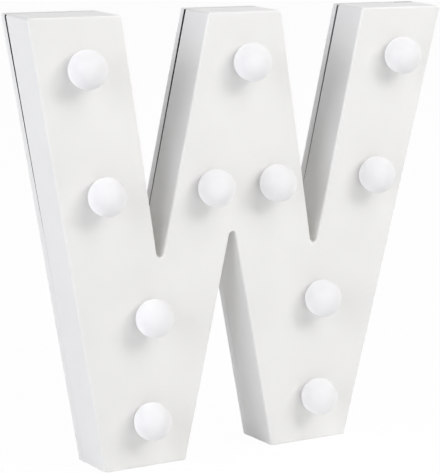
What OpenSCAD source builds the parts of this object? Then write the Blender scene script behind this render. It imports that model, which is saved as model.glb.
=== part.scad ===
// Light-up letter W: a moulded tray with globe bulbs on its face, a screwed-on back cover,
// a two-cell battery bay behind a flush door, a slide switch and the wiring between them.
// X runs along the width, Y from the bulbs to the back, Z up. The feet stand on Z = 0.

/* [Letter] */
// Height of the letter
letter_h = 220; // [208:1:240]
// Width across the tips of the two outer arms
letter_w = 242.6; // [232:0.2:262]
// Flat top of each outer arm
arm_w = 50.4; // [47:0.1:55]
// Flat top of the middle peak
peak_w = 42.6; // [38:0.2:48]
// Sideways place of the middle peak
peak_x = -0.7; // [-2:0.1:2]
// Width of each foot
foot_w = 46.6; // [45:0.1:52]
// Gap between the two feet
foot_gap = 52; // [46:0.2:58]
// Half the distance between the two upper notches
upper_notch_x = 46; // [43:0.1:49]
// Sideways place of the two upper notches together
upper_notch_shift = 1.1; // [-2:0.1:2]
// Height at which the edges of an upper notch would meet
upper_notch_z = 95; // [91:1:100]
// Sideways place of the lower notch
lower_notch_x = -3.3; // [-4:0.1:4]
// Height at which the edges of the lower notch would meet
lower_notch_z = 120.3; // [115:0.1:125]
// Radius of the outer corners
corner_r = 1.2; // [1:0.1:2]
// Radius at the root of each notch
notch_r = 2; // [1.4:0.1:2.6]

/* [Casing] */
// Depth from the face to the back
body_depth = 24.3; // [23.5:0.1:30]
// Thickness of the face
face_t = 2; // [1.8:0.1:2.4]
// Thickness of the side walls
wall = 1.8; // [1.5:0.1:2.2]
// Rounding of the edge round the face
face_edge_r = 0.9; // [0.4:0.1:0.9]
// Depth of the cover's share of the side wall
rim_h = 4.8; // [4:0.1:5.2]
// Thickness of the cover
cover_t = 2; // [1.9:0.1:2.2]
// Rounding of the edge round the back
cover_edge_r = 0.5; // [0.4:0.1:1.9]
// Open seam between tray and cover at the top of the letter
seam_top = 1.4; // [0.4:0.1:1.8]
// Closed seam between tray and cover low down
seam_low = 0.1; // [0.05:0.05:0.3]
// Height at which the seam begins to open
seam_z = 110; // [80:1:130]
// Thickness of the lip that centres the cover in the tray
lip_t = 1.2; // [1:0.1:1.4]
// Reach of that lip into the tray
lip_h = 3; // [2:0.1:4]
// Clearance between the lip and the tray
lip_gap = 0.3; // [0.2:0.05:0.4]

/* [Bulbs] */
// Diameter of each globe
bulb_d = 18.5; // [16.5:0.1:20]
// Distance of a globe's centre in front of the face
bulb_stand = 6.8; // [5.8:0.1:7.4]
// Wall of a globe
bulb_wall = 1.2; // [1:0.1:1.4]
// Diameter of the neck below a globe
neck_d = 9.6; // [9.2:0.1:10]
// Clearance round the neck in its hole
neck_gap = 0.2; // [0.1:0.05:0.3]
// Wall of the neck
neck_wall = 1; // [0.8:0.1:1.2]
// Reach of the neck behind the face
neck_tail = 2.4; // [2.2:0.1:2.8]
// Extra radius of the snap ring behind the face
snap_bite = 0.35; // [0.2:0.05:0.5]
// Length of the snap ring's slope
snap_l = 1.4; // [1:0.1:1.8]
// Distance of the top row of bulbs below the top of the letter
top_row_drop = 23.6; // [20:0.2:28]
// Height of the middle row of bulbs
mid_row_z = 136.4; // [132:0.2:142]
// Height of the low row of bulbs
low_row_z = 75.6; // [73:0.2:79]
// Height of the bulbs in the feet
foot_row_z = 24.6; // [21:0.2:27]
// Outward offset of the arm bulbs from the middle of the arm
arm_bulb_out = 1.6; // [0:0.1:4]
// Outward offset of the leg bulbs from the middle of the leg
leg_bulb_out = 1; // [0:0.1:2]
// Spacing of the two bulbs in the middle peak
peak_pair = 36.4; // [32:0.2:40]

/* [Lights] */
// Diameter of a light emitting diode
led_d = 5; // [4:0.1:5]
// Height of a light emitting diode above its socket
led_h = 8.6; // [7:0.1:9]
// Collar at the foot of the diode
led_collar = 0.4; // [0.3:0.05:0.5]
// Distance between the two legs of the diode
leg_pitch = 2.54; // [2:0.02:2.6]
// Diameter of a leg of the diode
leg_d = 0.5; // [0.4:0.05:0.6]
// Clearance round a leg
leg_gap = 0.1; // [0.05:0.01:0.15]
// Length of the socket's plug inside the neck
plug_l = 4; // [3.5:0.1:4.2]
// Clearance round the plug in the neck
plug_gap = 0.1; // [0.05:0.01:0.15]
// Depth of the socket behind the neck
socket_h = 4; // [3.6:0.1:4.2]
// Diameter of each core of the twin flex
core_d = 1.1; // [0.9:0.1:1.3]
// Spacing of the two cores
core_pitch = 0.9; // [0.7:0.05:1]
// Gap left where a wire meets its terminal
wire_gap = 0.1; // [0.05:0.01:0.2]

/* [Battery] */
// Diameter of a cell
cell_d = 10.5; // [10.2:0.1:10.5]
// Length of a cell over its button
cell_l = 44.5; // [43.5:0.1:44.8]
// Diameter of the cell's button
button_d = 3.8; // [3.4:0.1:4.2]
// Height of the cell's button
button_h = 0.9; // [0.8:0.1:1.2]
// Play round each cell
cell_gap = 0.4; // [0.3:0.05:0.5]
// Thickness of the contact plates
contact_t = 0.4; // [0.3:0.05:0.5]
// Width of a contact plate
contact_w = 8; // [7:0.1:9]
// Height of the bump that meets the cell's button
bump_h = 0.8; // [0.6:0.1:1]
// Length of a contact spring with the cell in place
spring_l = 5.4; // [5.2:0.1:6]
// Wire of a contact spring
spring_wire = 0.6; // [0.5:0.05:0.6]
// Number of turns of a contact spring
spring_turns = 4; // [3:1:4]
// Middle radius of the spring at its plate
spring_r_plate = 3.4; // [3:0.1:3.6]
// Middle radius of the spring at the cell
spring_r_cell = 2.2; // [1.9:0.1:2.4]
// Wall round the battery bay
bay_wall = 1.6; // [1.4:0.1:1.8]
// Floor of the battery bay
bay_floor = 1.2; // [1:0.1:1.4]
// Thickness of the battery door
door_t = 1.6; // [1.5:0.1:1.7]
// Clearance round the battery door
door_gap = 0.3; // [0.25:0.05:0.4]
// Clearance below the battery door
door_seat = 0.1; // [0.05:0.05:0.2]
// Width of each of the two hinge tabs
tab_w = 6; // [5:0.1:8]
// Spacing of the two hinge tabs
tab_pitch = 32; // [26:0.5:38]
// Reach of the hinge tabs under the cover
tab_reach = 1.6; // [1.2:0.1:1.8]
// Thickness of the hinge tabs
tab_t = 1; // [0.8:0.1:1.1]
// Width of the latch tongue
latch_w = 10; // [8:0.5:12]

/* [Switch] */
// Travel of the switch
switch_travel = 4; // [3:0.1:4]
// Length of the switch knob along its travel
knob_l = 4; // [3.5:0.1:4.5]
// Width of the switch knob
knob_w = 3.4; // [3:0.1:3.8]
// Clearance round the switch knob
knob_gap = 0.3; // [0.25:0.05:0.4]
// Depth of the finger recess round the knob
recess_d = 1; // [0.8:0.1:1.1]
// Distance of the switch above the battery door
switch_rise = 12; // [10:0.5:13]

/* [Fixings] */
// Outer diameter of the screw bosses
boss_d = 7.4; // [7:0.1:8]
// Depth of the cover's screw seats below the back
seat_back = 9.5; // [9:0.1:10]
// Diameter of a screw
screw_d = 2.6; // [2.4:0.1:2.8]
// Length of a screw in its boss
screw_l = 7; // [6:0.5:8]
// Diameter of a screw head
head_d = 5; // [4.6:0.1:5.2]
// Height of a screw head
head_h = 2; // [1.8:0.1:2.2]
// Clearance round a screw head in its well
head_gap = 0.4; // [0.3:0.05:0.5]
// Diameter of the keyhole's entry
key_d = 8.5; // [8:0.1:9]
// Width of the keyhole's slot
key_slot = 4.5; // [4:0.1:5]
// Rise of the keyhole's slot
key_rise = 8; // [7:0.5:10]
// Distance of the keyhole below the top of the letter
key_drop = 38; // [36:0.5:41]

/* [Hidden] */
$fn = 48;
arc_steps = 4;
edge_steps = 4;
eps = 0.01;
over = 1;
least_r = 0.1;
far = 400;

// Places along the depth are measured from the face, with the bulbs at negative depths.
half_w = letter_w / 2;
foot_out = foot_gap / 2 + foot_w;
shell_depth = body_depth - rim_h;
bulb_reach = bulb_stand + bulb_d / 2;
face_y = (bulb_reach - body_depth) / 2;
panel_t = body_depth - cover_t;
seat_t = body_depth - seat_back;
lip_in = wall + lip_gap + lip_t;

// Edges of the strokes at a height, on side s = -1 or 1
function blend(a, b, t) = a + (b - a) * t;
function outer_x(z) = blend(foot_out, half_w, z / letter_h);
function arm_in_x(z) = blend(upper_notch_x, half_w - arm_w, (z - upper_notch_z) / (letter_h - upper_notch_z));
function foot_in_x(s, z) = blend(s * foot_gap / 2, lower_notch_x, z / lower_notch_z);
function leg_mid_x(s, z) = (s * outer_x(z) + foot_in_x(s, z)) / 2;
function arm_spot(s, z) = [s * ((outer_x(z) + arm_in_x(z)) / 2 + arm_bulb_out), z];
function leg_spot(s, z) = [leg_mid_x(s, z) + s * leg_bulb_out, z];

// Bulbs in the order of the strokes, from left to right, and the flex that joins them
top_row_z = letter_h - top_row_drop;
function side_spots(s) = [
    arm_spot(s, top_row_z),
    arm_spot(s, mid_row_z),
    leg_spot(s, low_row_z),
    leg_spot(s, foot_row_z),
    [s * peak_pair / 2, mid_row_z]
];
left_spots = side_spots(-1);
right_spots = side_spots(1);
order_back = [4, 2, 3, 1, 0];
spots = concat(left_spots, [[0, top_row_z]], [for (i = order_back) right_spots[i]]);
hops = [[0, 1], [1, 2], [2, 3], [2, 4], [4, 5], [5, 6], [6, 7], [7, 8], [7, 9], [9, 10]];
feed = 2;
bulb_count = len(spots);

// Screw bosses: one in each arm, foot and fork, midway between the flex runs there, and one in the middle peak
boss_wall_gap = 8.5;
boss_foot_z = 9;
boss_notch_drop = 5;
boss_row_drop = 6;
between_rows = (top_row_z + mid_row_z) / 2;
arm_boss_x = outer_x(between_rows) - wall - boss_wall_gap;
fork_boss_z = upper_notch_z - boss_notch_drop;
function fork_mid_x(s) = (arm_spot(s, mid_row_z)[0] + s * peak_pair / 2) / 2;
function fork_boss_x(s) = blend(
    leg_spot(s, low_row_z)[0], fork_mid_x(s), (fork_boss_z - low_row_z) / (mid_row_z - low_row_z)
);
bosses = concat(
    [for (s = [-1, 1]) [s * arm_boss_x, between_rows]],
    [for (s = [-1, 1]) [leg_mid_x(s, boss_foot_z), boss_foot_z]],
    [for (s = [-1, 1]) [fork_boss_x(s), fork_boss_z]],
    [[0, between_rows - boss_row_drop]]
);

// Outline of the letter, drawn in from its edge by d, with round corners and notch roots
corners = [
    [-foot_out, 0],
    [-foot_gap / 2, 0],
    [lower_notch_x, lower_notch_z],
    [foot_gap / 2, 0],
    [foot_out, 0],
    [half_w, letter_h],
    [half_w - arm_w, letter_h],
    [upper_notch_shift + upper_notch_x, upper_notch_z],
    [peak_x + peak_w / 2, letter_h],
    [peak_x - peak_w / 2, letter_h],
    [upper_notch_shift - upper_notch_x, upper_notch_z],
    [arm_w - half_w, letter_h],
    [-half_w, letter_h]
];
corner_n = len(corners);
function unit(v) = v / norm(v);
function left_of(v) = [-v[1], v[0]];
function turned(v, a) = [v[0] * cos(a) - v[1] * sin(a), v[0] * sin(a) + v[1] * cos(a)];
function edge_dir(i) = unit(corners[(i + 1) % corner_n] - corners[i % corner_n]);
function round_corner(i, d) =
    let (u = edge_dir(i + corner_n - 1), v = edge_dir(i))
    let (a = left_of(u), b = left_of(v))
    let (bend = atan2(cross(u, v), u * v), side = sign(bend))
    let (r = side > 0 ? max(corner_r - d, least_r) : notch_r + d)
    let (tip = corners[i] + d * (a + b) / (1 + a * b))
    let (start = tip - u * r * tan(abs(bend) / 2))
    let (mid = start + side * r * a)
    [for (k = [0 : arc_steps]) mid + turned(start - mid, bend * k / arc_steps)];
function outline(d) = [for (i = [0 : corner_n - 1]) each round_corner(i, d)];

// A rounded strip along the outline: a section of [inset, depth] pairs swept round the letter
strip_in = 0.4;
function strip_point(p, t) = [p[0], face_y + t, p[1]];
module strip(section) {
    rings = [for (s = section) outline(s[0])];
    n = len(rings[0]);
    m = len(section);
    points = [for (i = [0 : n - 1]) for (k = [0 : m - 1]) strip_point(rings[k][i], section[k][1])];
    faces = [
        for (i = [0 : n - 1])
            for (k = [0 : m - 1])
                let (a = i * m + k, b = ((i + 1) % n) * m + k)
                let (c = ((i + 1) % n) * m + (k + 1) % m, d = i * m + (k + 1) % m)
                each [[a, b, c], [a, c, d]]
    ];
    polyhedron(points, faces, convexity = 10);
}
function edge_angles() = [for (k = [0 : edge_steps]) 90 * k / edge_steps];
face_edge = concat(
    [for (a = edge_angles()) [face_edge_r * (1 - sin(a)), face_edge_r * (1 - cos(a))]],
    [[face_edge_r + strip_in, face_edge_r + strip_in]]
);
cover_edge = concat(
    [for (a = edge_angles()) [cover_edge_r * (1 - cos(a)), body_depth - cover_edge_r * (1 - sin(a))]],
    [[cover_edge_r + strip_in, body_depth - cover_edge_r - strip_in]]
);

// Placing: a flat shape drawn through the depth, and an upright whose own +Z points to the front
module through(t0, t1) {
    translate([0, face_y + t1, 0])
        rotate([90, 0, 0])
            linear_extrude(height = t1 - t0)
                children();
}
module facing(p, t) {
    translate([p[0], face_y + t, p[1]])
        rotate([90, 0, 0])
            children();
}
module rod(p, t0, t1, d) {
    facing(p, t1)
        cylinder(h = t1 - t0, d = d);
}
module block(x0, x1, z0, z1, t0, t1) {
    translate([x0, face_y + t0, z0])
        cube([x1 - x0, t1 - t0, z1 - z0]);
}
module slotted(p, length, width, t0, t1) {
    through(t0, t1) {
        translate([p[0] - length / 2 + width / 2, p[1] - width / 2])
            square([length - width, width]);
        for (s = [-1, 1])
            translate([p[0] + s * (length - width) / 2, p[1]])
                circle(d = width);
    }
}

// A tube swept along points, with a frame that is carried along without twist
tube_sides = 8;
function quad_faces(j, n) = [
    for (i = [0 : n - 1])
        each [
            [j * n + i, (j + 1) * n + (i + 1) % n, (j + 1) * n + i],
            [j * n + i, j * n + (i + 1) % n, (j + 1) * n + (i + 1) % n]
        ]
];
function tube_faces(rows, n) = concat(
    [[for (i = [n - 1 : -1 : 0]) i]],
    [[for (i = [0 : n - 1]) (rows - 1) * n + i]],
    [for (j = [0 : rows - 2]) each quad_faces(j, n)]
);
function mid_dir(path, i) =
    i == 0 ? unit(path[1] - path[0])
    : i == len(path) - 1 ? unit(path[i] - path[i - 1])
    : unit(unit(path[i] - path[i - 1]) + unit(path[i + 1] - path[i]));
function square_to(n, t) = unit(n - (n * t) * t);
function any_normal(t) = square_to(abs(t[0]) < 0.6 ? [1, 0, 0] : [0, 0, 1], t);
function carried(path) = [
    for (i = 0, n = any_normal(mid_dir(path, 0)); i < len(path);
         i = i + 1, n = i < len(path) ? square_to(n, mid_dir(path, i)) : n) n
];
function tube_points(path, r, sides) =
    let (ns = carried(path))
    [for (i = [0 : len(path) - 1])
        let (n = ns[i], b = cross(mid_dir(path, i), n))
        each [for (k = [0 : sides - 1]) path[i] + r * (cos(360 * k / sides) * n + sin(360 * k / sides) * b)]];
module tube(path, d, sides) {
    polyhedron(tube_points(path, d / 2, sides), tube_faces(len(path), sides), convexity = 10);
}
bend_steps = 5;
function bent(path, r) = [
    for (i = [0 : len(path) - 1])
        each (i == 0 || i == len(path) - 1) ? [path[i]]
        : let (a = path[i - 1], p = path[i], b = path[i + 1])
          let (p0 = p + unit(a - p) * min(r, norm(a - p) / 2.2))
          let (p1 = p + unit(b - p) * min(r, norm(b - p) / 2.2))
          [for (k = [0 : bend_steps])
              let (t = k / bend_steps) (1 - t) * (1 - t) * p0 + 2 * t * (1 - t) * p + t * t * p1]
];
function at(x, z, t) = [x, face_y + t, z];

// Bulb and socket sizes along the bulb's own axis, which points to the front from the face
neck_l = face_t + neck_tail;
hole_d = neck_d + 2 * neck_gap;
neck_bore = neck_d - 2 * neck_wall;
snap_gap = 0.1;
socket_floor = 1;
socket_end_t = neck_l + socket_h;
flex_t = neck_l + socket_h / 2;
lens_d = led_d;
collar_h = 1;

// Battery bay in the left leg, between its two bulbs, with the cells lying across
bay_z = (low_row_z + foot_row_z) / 2;
bay_x = leg_mid_x(-1, bay_z);
bay_l = 2 * contact_t + bump_h + cell_l + spring_l;
bay_h = 2 * cell_d + 3 * cell_gap;
bay_in_t = body_depth - door_t - 2 * cell_gap - cell_d;
bay_out_t = bay_in_t - bay_floor;
cell_t = bay_in_t + cell_gap / 2 + cell_d / 2;
row_z = (cell_d + cell_gap) / 2;
contact_top_t = cell_t + cell_d / 3;
spade_w = 3;
spade_l = 1.6;
spade_gap = 0.2;
bump_d = 4;
door_l = bay_l + 2 * bay_wall;
door_h = bay_h + 2 * bay_wall;
door_top = bay_z + door_h / 2;
door_low = bay_z - door_h / 2;
door_in_t = body_depth - door_t;
hinge_z = door_top - door_t / 2;
hinge_t = body_depth - door_t / 2;
tab_top_t = panel_t - door_seat;
tab_low_t = tab_top_t - tab_t;
tab_swing = norm([door_t / 2 + tab_reach, hinge_t - tab_low_t]) + door_gap;
tab_root = 2.4;
latch_reach = 2.2;
latch_t = 0.9;
latch_nub = 0.4;
latch_in = 0.7;
nail_r = 7;
nail_d = 1;
grip_n = 3;
grip_pitch = 2.2;
grip_w = 1;
grip_d = 0.4;
grip_l = 14;
grip_first = 4;

// Switch behind the low left bulb, on the inside of the cover
switch_z = door_top + switch_rise;
switch_x = bay_x;
plate_t = 0.6;
frame_w = knob_w + 3;
can_wall = 0.5;
shoe_l = knob_l + 2;
can_l = shoe_l + switch_travel + 2 * knob_gap + 2 * can_wall + 0.8;
can_h = 5;
base_t = 1.2;
stake_d = 2;
stake_gap = 0.1;
stake_head = 3.4;
stake_x = can_l / 2 + stake_head / 2 + 0.4;
frame_l = 2 * stake_x + stake_head;
plate_low_t = panel_t - plate_t;
can_low_t = plate_low_t - can_h;
base_low_t = can_low_t - base_t;
shoe_h = 2.2;
shoe_play = 0.1;
shoe_top_t = plate_low_t - shoe_play;
shoe_low_t = shoe_top_t - shoe_h;
knob_sink = 0.2;
pin_pitch = 3.2;
pin_w = 0.8;
pin_t = 0.4;
pin_l = 2.8;
pin_gap = 0.05;
pad_h = 0.5;
off_x = switch_x - switch_travel / 2;
recess_l = knob_l + switch_travel + 7;
recess_w = knob_w + 4.6;

// Screws
post_floor = 1.8;
hole_gap = 0.2;
pilot_gap = 0.03;
pilot_extra = 1;
well_d = head_d + 2 * head_gap;
post_d = well_d + 2.6;
gusset_t = 1.2;
gusset_reach = 3;
gusset_h = 3;
drive_w = 0.7;
drive_d = 0.9;
drive_l = 2.8;
key_z = letter_h - key_drop;

function two_digits(i) = str(i < 9 ? "0" : "", i + 1);
function numbered(stem) = [for (i = [0 : bulb_count - 1]) str(stem, two_digits(i))];
bulb_names = numbered("bulb_");
led_names = numbered("led_");
socket_names = numbered("socket_");

// Tray with the face, drilled for the bulbs, and bosses for the cover screws
module front_shell() {
    color("#f0efeb")
        difference() {
            union() {
                difference() {
                    union() {
                        through(0, face_t)
                            polygon(outline(face_edge_r));
                        through(face_edge_r, shell_depth)
                            polygon(outline(0));
                        strip(face_edge);
                    }
                    through(face_t, shell_depth + over)
                        polygon(outline(wall));
                }
                for (p = bosses) {
                    rod(p, face_t / 2, seat_t, boss_d);
                    for (a = [0, 90])
                        facing(p, face_t + gusset_h)
                            rotate([0, 0, a + 45])
                                translate([-boss_d / 2 - gusset_reach, -gusset_t / 2, 0])
                                    cube([boss_d + 2 * gusset_reach, gusset_t, gusset_h + face_t / 2]);
                }
            }
            for (p = spots)
                rod(p, -over, face_t + over, hole_d);
            for (p = bosses)
                rod(p, seat_t - screw_l - pilot_extra, seat_t + over, screw_d + 2 * pilot_gap);
        }
}

// Wedge that opens the seam towards the top of the letter
module seam_wedge() {
    translate([-far / 2, face_y + shell_depth, 0])
        rotate([90, 0, 90])
            linear_extrude(height = far)
                polygon([
                    [-over, -over],
                    [seam_low, -over],
                    [seam_low, seam_z],
                    [seam_top, letter_h],
                    [seam_top, letter_h + over],
                    [-over, letter_h + over]
                ]);
}

// Cover with its lip, screw posts, battery bay, switch recess and keyhole
module back_cover() {
    color("#f2f1ee")
        difference() {
            union() {
                difference() {
                    union() {
                        through(shell_depth, body_depth - cover_edge_r)
                            polygon(outline(0));
                        through(panel_t, body_depth)
                            polygon(outline(cover_edge_r));
                        strip(cover_edge);
                    }
                    through(shell_depth - over, panel_t)
                        polygon(outline(lip_in));
                    seam_wedge();
                }
                through(shell_depth - lip_h, panel_t + cover_t / 2)
                    difference() {
                        polygon(outline(wall + lip_gap));
                        polygon(outline(lip_in));
                    }
                for (p = bosses)
                    rod(p, seat_t, panel_t + cover_t / 2, post_d);
                bay_walls();
                switch_stakes();
            }
            for (p = bosses) {
                rod(p, seat_t - over, body_depth, screw_d + 2 * hole_gap);
                rod(p, seat_t + post_floor, body_depth + over, well_d);
            }
            bay_space();
            switch_openings();
            rod([0, key_z], shell_depth, body_depth + over, key_d);
            slotted_key();
        }
}

module slotted_key() {
    block(-key_slot / 2, key_slot / 2, key_z, key_z + key_rise, panel_t - over, body_depth + over);
    rod([0, key_z + key_rise], panel_t - over, body_depth + over, key_slot);
}

module bay_walls() {
    block(
        bay_x - door_l / 2, bay_x + door_l / 2, door_low, door_top,
        bay_out_t, panel_t + cover_t / 2
    );
}

module bay_space() {
    // room for the cells
    block(
        bay_x - bay_l / 2, bay_x + bay_l / 2, bay_z - bay_h / 2, bay_z + bay_h / 2,
        bay_in_t, body_depth + over
    );
    // bed of the door
    block(
        bay_x - door_l / 2 - door_gap, bay_x + door_l / 2 + door_gap,
        door_low - door_gap, door_top + door_gap,
        door_in_t - door_seat, body_depth + over
    );
    // pockets for the two hinge tabs
    for (s = [-1, 1])
        block(
            bay_x + s * tab_pitch / 2 - tab_w / 2 - door_gap,
            bay_x + s * tab_pitch / 2 + tab_w / 2 + door_gap,
            bay_z + bay_h / 2 - eps, door_top + tab_reach + door_gap,
            hinge_t - tab_swing, panel_t
        );
    // pocket for the latch tongue
    block(
        bay_x - latch_w / 2 - door_gap, bay_x + latch_w / 2 + door_gap,
        door_low - door_gap, bay_z - bay_h / 2 + eps,
        door_in_t - latch_reach - door_gap, panel_t
    );
    block(
        bay_x - latch_w / 2 - door_gap, bay_x + latch_w / 2 + door_gap,
        door_low, bay_z - bay_h / 2 + eps,
        panel_t - eps, door_in_t
    );
    // the same pockets where the bed of the door crosses them
    for (s = [-1, 1])
        block(
            bay_x + s * tab_pitch / 2 - tab_w / 2 - door_gap,
            bay_x + s * tab_pitch / 2 + tab_w / 2 + door_gap,
            bay_z + bay_h / 2 - eps, door_top + door_gap,
            panel_t - eps, door_in_t
        );
    // nail notch below the door
    rod([bay_x, door_low], body_depth - nail_d, body_depth + over, 2 * nail_r);
    // slits in the floor for the contact spades
    for (s = [-1, 1])
        block(
            bay_x + bay_l / 2 - contact_t - spade_gap, bay_x + bay_l / 2,
            bay_z + s * row_z - spade_w / 2 - spade_gap, bay_z + s * row_z + spade_w / 2 + spade_gap,
            bay_out_t - over, bay_in_t + eps
        );
}

module switch_stakes() {
    for (s = [-1, 1]) {
        rod([switch_x + s * stake_x, switch_z], plate_low_t - plate_t, panel_t + cover_t / 2, stake_d);
        facing([switch_x + s * stake_x, switch_z], plate_low_t - pin_gap)
            cylinder(h = plate_t, d1 = stake_head, d2 = stake_d);
    }
}

module switch_openings() {
    slotted([switch_x, switch_z], recess_l, recess_w, body_depth - recess_d, body_depth + over);
    block(
        off_x - knob_l / 2 - knob_gap, off_x + switch_travel + knob_l / 2 + knob_gap,
        switch_z - knob_w / 2 - knob_gap, switch_z + knob_w / 2 + knob_gap,
        panel_t - over, body_depth
    );
}

// Pan-head screws in the wells of the cover
module cover_screws() {
    color("#b9bcc0")
        for (p = bosses)
            difference() {
                union() {
                    rod(p, seat_t - screw_l, seat_t + post_floor + eps, screw_d);
                    rod(p, seat_t + post_floor, seat_t + post_floor + head_h / 2, head_d);
                    facing(p, seat_t + post_floor + head_h)
                        cylinder(h = head_h / 2, d1 = head_d - head_h, d2 = head_d);
                }
                for (a = [0, 90])
                    facing(p, seat_t + post_floor + head_h + over)
                        rotate([0, 0, a])
                            translate([-drive_l / 2, -drive_w / 2, 0])
                                cube([drive_l, drive_w, drive_d + over]);
            }
}

// Door that turns on its round top edge, with two hook tabs there, a latch tongue below and grip grooves
module battery_door() {
    color("#f2f1ee")
        difference() {
            union() {
                block(bay_x - door_l / 2, bay_x + door_l / 2, door_low, hinge_z, door_in_t, body_depth);
                translate(at(bay_x - door_l / 2, hinge_z, hinge_t))
                    rotate([0, 90, 0])
                        cylinder(h = door_l, d = door_t);
                for (s = [-1, 1]) {
                    x0 = bay_x + s * tab_pitch / 2 - tab_w / 2;
                    block(x0, x0 + tab_w, door_top - tab_root, hinge_z, tab_low_t, hinge_t);
                    block(x0, x0 + tab_w, hinge_z - eps, door_top + tab_reach, tab_low_t, tab_top_t);
                }
                block(
                    bay_x - latch_w / 2, bay_x + latch_w / 2,
                    door_low + latch_in, door_low + latch_in + latch_t,
                    door_in_t - latch_reach, door_in_t + eps
                );
                block(
                    bay_x - latch_w / 2, bay_x + latch_w / 2,
                    door_low + latch_in - latch_nub, door_low + latch_in + eps,
                    door_in_t - latch_reach, door_in_t - latch_reach / 2
                );
            }
            for (k = [0 : grip_n - 1])
                slotted(
                    [bay_x, door_low + grip_first + k * grip_pitch],
                    grip_l, grip_w, body_depth - grip_d, body_depth + over
                );
        }
}

// Dry cell, drawn from its button; s is 1 for the upper cell and -1 for the lower one
cell_chamfer = 0.5;
module cell(s) {
    r = cell_d / 2;
    translate(at(bay_x + s * (bay_l / 2 - contact_t - bump_h), bay_z + s * row_z, cell_t))
        rotate([0, -s * 90, 0])
            rotate_extrude()
                polygon([
                    [0, 0],
                    [button_d / 2 - cell_chamfer / 2, 0],
                    [button_d / 2, cell_chamfer / 2],
                    [button_d / 2, button_h],
                    [r - cell_chamfer, button_h],
                    [r, button_h + cell_chamfer],
                    [r, cell_l - cell_chamfer],
                    [r - cell_chamfer, cell_l],
                    [0, cell_l]
                ]);
}
module cell_upper() {
    color("#6f7f8c")
        cell(1);
}
module cell_lower() {
    color("#6f7f8c")
        cell(-1);
}

// Contact plates: a bump meets the button, a spring stands on the plate at the other end
module contact_bump(end, s) {
    translate(at(bay_x + end * (bay_l / 2 - contact_t + eps), bay_z + s * row_z, cell_t))
        rotate([0, -end * 90, 0])
            cylinder(h = bump_h + eps, d1 = bump_d, d2 = bump_d / 2);
}
module end_plate(end, z0, z1) {
    x0 = bay_x + end * bay_l / 2;
    block(min(x0, x0 - end * contact_t), max(x0, x0 - end * contact_t), z0, z1, bay_in_t, contact_top_t);
}
module spade(s) {
    block(
        bay_x + bay_l / 2 - contact_t, bay_x + bay_l / 2,
        bay_z + s * row_z - spade_w / 2, bay_z + s * row_z + spade_w / 2,
        bay_out_t - spade_l, bay_in_t + eps
    );
}
module contact_positive() {
    color("#d9d6cc") {
        end_plate(1, bay_z + row_z - contact_w / 2, bay_z + row_z + contact_w / 2);
        contact_bump(1, 1);
        spade(1);
    }
}
module contact_negative() {
    color("#d9d6cc") {
        end_plate(1, bay_z - row_z - contact_w / 2, bay_z - row_z + contact_w / 2);
        spade(-1);
    }
}
module contact_bridge() {
    color("#d9d6cc") {
        end_plate(-1, bay_z - row_z - contact_w / 2, bay_z + row_z + contact_w / 2);
        contact_bump(-1, -1);
    }
}

// Conical contact springs, each one wire whose ends stand square on the plate and the cell
spring_rings = 8;
spring_sides = 6;
function spring_point(a, h, r) = [r * cos(a), r * sin(a), h];
spring_path = concat(
    [spring_point(0, 0, spring_r_plate)],
    [for (k = [0 : spring_turns * spring_rings])
        let (t = k / (spring_turns * spring_rings))
        spring_point(
            360 * spring_turns * t,
            blend(spring_wire, spring_l - spring_wire, t),
            blend(spring_r_plate, spring_r_cell, t)
        )],
    [spring_point(360 * spring_turns, spring_l, spring_r_cell)]
);
spring_apart = spring_rings / 2;
spring_gap = min([
    for (i = [0 : len(spring_path) - 1])
        for (j = [i + spring_apart : 1 : len(spring_path) - 1])
            norm(spring_path[i] - spring_path[j])
]) - spring_wire;
echo(least_gap_in_spring = spring_gap);
module contact_spring(s) {
    translate(at(bay_x - s * (bay_l / 2 - contact_t), bay_z + s * row_z, cell_t))
        rotate([0, s * 90, 0])
            tube(spring_path, spring_wire, spring_sides);
}
module spring_upper() {
    color("#cfd2d4")
        contact_spring(1);
}
module spring_lower() {
    color("#cfd2d4")
        contact_spring(-1);
}

// Single leads: bay to switch, bay to the feed socket, and switch to the feed socket
lead_bend = 3;
lead_t = bay_out_t - spade_l / 2;
spade_x = bay_x + bay_l / 2 - contact_t;
lead_x = spade_x - core_d / 2 - wire_gap;
lead_apart = 4.5 * core_d;
lead_clear = 3 * core_d;
feed_spot = spots[feed];
feed_r = neck_d / 2 + wire_gap;
feed_out = feed_r + lead_clear;
pin_mid_t = base_low_t - pin_l / 2;
pin_side_x = pin_w / 2 + wire_gap;
pin_side_z = pin_t / 2 + wire_gap;
module lead_positive() {
    x_pin = switch_x + pin_pitch + pin_side_x;
    color("#b3261e")
        tube(bent([
            at(lead_x, bay_z + row_z - spade_w / 2, lead_t),
            at(lead_x, door_top + lead_clear, lead_t),
            at(x_pin + frame_w, switch_z, pin_mid_t),
            at(x_pin, switch_z, pin_mid_t)
        ], lead_bend), core_d, tube_sides);
}
module lead_negative() {
    color("#26282b")
        tube(bent([
            at(lead_x, bay_z - row_z - spade_w / 2, lead_t),
            at(lead_x, bay_z - row_z + spade_w / 2, lead_t),
            at(lead_x - lead_apart, bay_z, lead_t),
            at(lead_x - lead_apart, door_top + lead_clear, lead_t),
            at(feed_spot[0] + feed_out, feed_spot[1], flex_t),
            at(feed_spot[0] + feed_r, feed_spot[1], flex_t)
        ], lead_bend), core_d, tube_sides);
}
module lead_switched() {
    z_over = switch_z + frame_w / 2 + core_d;
    x_past = feed_spot[0] - feed_out - core_d;
    color("#b3261e")
        tube(bent([
            at(switch_x, switch_z + pin_side_z, pin_mid_t),
            at(switch_x, z_over, pin_mid_t),
            at(x_past, z_over, pin_mid_t),
            at(x_past, feed_spot[1], flex_t),
            at(feed_spot[0] - feed_r, feed_spot[1], flex_t)
        ], lead_bend), core_d, tube_sides);
}

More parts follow.
